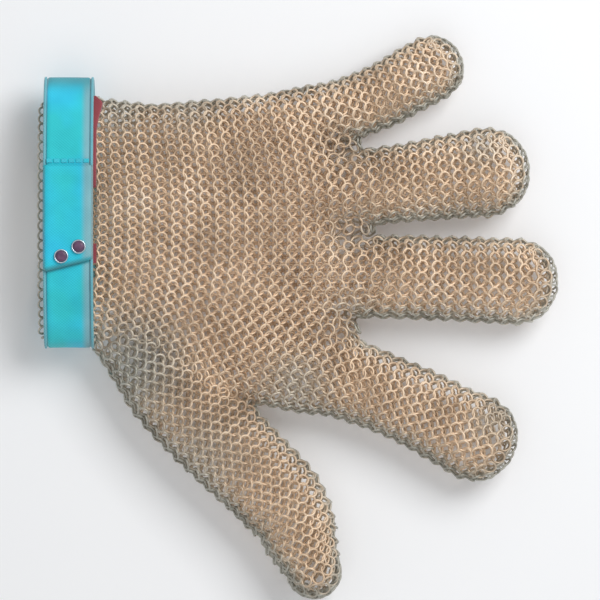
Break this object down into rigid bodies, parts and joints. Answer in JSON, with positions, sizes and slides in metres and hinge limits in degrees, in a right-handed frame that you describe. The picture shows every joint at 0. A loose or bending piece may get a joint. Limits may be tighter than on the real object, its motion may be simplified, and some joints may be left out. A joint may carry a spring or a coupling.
{
  "type": "chain mail glove",
  "caption": "Stainless ring mesh safety glove with bending fingers and thumb, on a turquoise webbing wrist strap whose tongue is closed with press studs.",
  "frame": {"origin": "Middle of the wrist opening, at the wrist edge of the mail.", "axes": "+X to the fingertips, +Y to the little finger, +Z to the back of the hand; the palm side lies on z = -18 mm."},
  "size_m": [0.2106, 0.2295, 0.041],
  "materials": {
    "ring_mesh": "welded stainless wire rings, satin",
    "webbing": "woven turquoise webbing",
    "webbing_rim": "folded and stitched edge",
    "thread": "sewing thread",
    "stud_steel": "pressed steel",
    "cap_plastic": "dark plum cap",
    "red_tape": "woven red tape"
  },
  "bodies": {
    "hand": {"cuff_mail": "ring_mesh", "back_mail": "ring_mesh", "palm_mail": "ring_mesh", "wrist_edge_rings": "ring_mesh", "wrist_strap": "webbing", "strap_rim_wrist": "webbing_rim", "strap_rim_hand": "webbing_rim", "strap_tacks": "thread", "tongue_seam": "thread", "stud_posts": "stud_steel", "red_edge_tape": "red_tape", "red_end_tape": "red_tape", "thumb_knuckle_mail": "ring_mesh", "little_knuckle_mail": "ring_mesh", "ring_knuckle_mail": "ring_mesh", "middle_knuckle_mail": "ring_mesh", "index_knuckle_mail": "ring_mesh"},
    "thumb_proximal": {"thumb_proximal_mail": "ring_mesh", "thumb_joint_mail": "ring_mesh"},
    "thumb_tip": {"thumb_tip_mail": "ring_mesh"},
    "little_proximal": {"little_proximal_mail": "ring_mesh", "little_joint_mail": "ring_mesh"},
    "little_middle": {"little_middle_mail": "ring_mesh", "little_end_joint_mail": "ring_mesh"},
    "little_tip": {"little_tip_mail": "ring_mesh"},
    "ring_proximal": {"ring_proximal_mail": "ring_mesh", "ring_joint_mail": "ring_mesh"},
    "ring_middle": {"ring_middle_mail": "ring_mesh", "ring_end_joint_mail": "ring_mesh"},
    "ring_tip": {"ring_tip_mail": "ring_mesh"},
    "middle_proximal": {"middle_proximal_mail": "ring_mesh", "middle_joint_mail": "ring_mesh"},
    "middle_middle": {"middle_middle_mail": "ring_mesh", "middle_end_joint_mail": "ring_mesh"},
    "middle_tip": {"middle_tip_mail": "ring_mesh"},
    "index_proximal": {"index_proximal_mail": "ring_mesh", "index_joint_mail": "ring_mesh"},
    "index_middle": {"index_middle_mail": "ring_mesh", "index_end_joint_mail": "ring_mesh"},
    "index_tip": {"index_tip_mail": "ring_mesh"},
    "tongue": {"strap_tongue": "webbing", "stud_caps": "cap_plastic", "stud_rims": "stud_steel"}
  },
  "joints": [
    {"name": "thumb_knuckle", "type": "hinge", "parent": "hand", "child": "thumb_proximal", "pos_m": [0.0692, -0.0858, -0.001], "axis": [0.742, 0.6704, 0], "range_deg": [-10, 30], "deforming": ["thumb_knuckle_mail"]},
    {"name": "thumb_joint", "type": "hinge", "parent": "thumb_proximal", "child": "thumb_tip", "pos_m": [0.0985, -0.115, -0.001], "axis": [0.9135, 0.4067, 0], "range_deg": [0, 60], "deforming": ["thumb_joint_mail"]},
    {"name": "little_knuckle", "type": "hinge", "parent": "hand", "child": "little_proximal", "pos_m": [0.098, 0.0386, 0.004], "axis": [0, 1, 0], "range_deg": [-10, 75], "deforming": ["little_knuckle_mail"]},
    {"name": "little_joint", "type": "hinge", "parent": "little_proximal", "child": "little_middle", "pos_m": [0.1334, 0.0489, -0.0035], "axis": [-0.4587, 0.8886, 0], "range_deg": [0, 80], "deforming": ["little_joint_mail"]},
    {"name": "little_end_joint", "type": "hinge", "parent": "little_middle", "child": "little_tip", "pos_m": [0.1534, 0.0592, -0.0035], "axis": [-0.4587, 0.8886, 0], "range_deg": [0, 40], "deforming": ["little_end_joint_mail"]},
    {"name": "ring_knuckle", "type": "hinge", "parent": "hand", "child": "ring_proximal", "pos_m": [0.103, 0.0103, 0.004], "axis": [0, 1, 0], "range_deg": [-10, 75], "deforming": ["ring_knuckle_mail"]},
    {"name": "ring_joint", "type": "hinge", "parent": "ring_proximal", "child": "ring_middle", "pos_m": [0.148, 0.0156, -0.002], "axis": [-0.1271, 0.9919, 0], "range_deg": [0, 80], "deforming": ["ring_joint_mail"]},
    {"name": "ring_end_joint", "type": "hinge", "parent": "ring_middle", "child": "ring_tip", "pos_m": [0.1742, 0.019, -0.002], "axis": [-0.1271, 0.9919, 0], "range_deg": [0, 40], "deforming": ["ring_end_joint_mail"]},
    {"name": "middle_knuckle", "type": "hinge", "parent": "hand", "child": "middle_proximal", "pos_m": [0.106, -0.0226, 0.004], "axis": [0, 1, 0], "range_deg": [-10, 75], "deforming": ["middle_knuckle_mail"]},
    {"name": "middle_joint", "type": "hinge", "parent": "middle_proximal", "child": "middle_middle", "pos_m": [0.154, -0.0232, -0.002], "axis": [0.0419, 0.9991, 0], "range_deg": [0, 80], "deforming": ["middle_joint_mail"]},
    {"name": "middle_end_joint", "type": "hinge", "parent": "middle_middle", "child": "middle_tip", "pos_m": [0.183, -0.0244, -0.002], "axis": [0.0419, 0.9991, 0], "range_deg": [0, 40], "deforming": ["middle_end_joint_mail"]},
    {"name": "index_knuckle", "type": "hinge", "parent": "hand", "child": "index_proximal", "pos_m": [0.104, -0.0575, 0.004], "axis": [0, 1, 0], "range_deg": [-10, 75], "deforming": ["index_knuckle_mail"]},
    {"name": "index_joint", "type": "hinge", "parent": "index_proximal", "child": "index_middle", "pos_m": [0.146, -0.073, -0.002], "axis": [0.4478, 0.8942, 0], "range_deg": [0, 80], "deforming": ["index_joint_mail"]},
    {"name": "index_end_joint", "type": "hinge", "parent": "index_middle", "child": "index_tip", "pos_m": [0.1699, -0.085, -0.002], "axis": [0.4478, 0.8942, 0], "range_deg": [0, 40], "deforming": ["index_end_joint_mail"]},
    {"name": "strap_tongue_lift", "type": "hinge", "parent": "hand", "child": "tongue", "pos_m": [0.01145, 0.02221, 0.01915], "axis": [-1, 0, 0], "range_deg": [0, 80]}
  ],
  "couplings": [
    {"joint": "little_end_joint", "follows": "little_joint", "ratio": 0.5},
    {"joint": "ring_end_joint", "follows": "ring_joint", "ratio": 0.5},
    {"joint": "middle_end_joint", "follows": "middle_joint", "ratio": 0.5},
    {"joint": "index_end_joint", "follows": "index_joint", "ratio": 0.5}
  ]
}
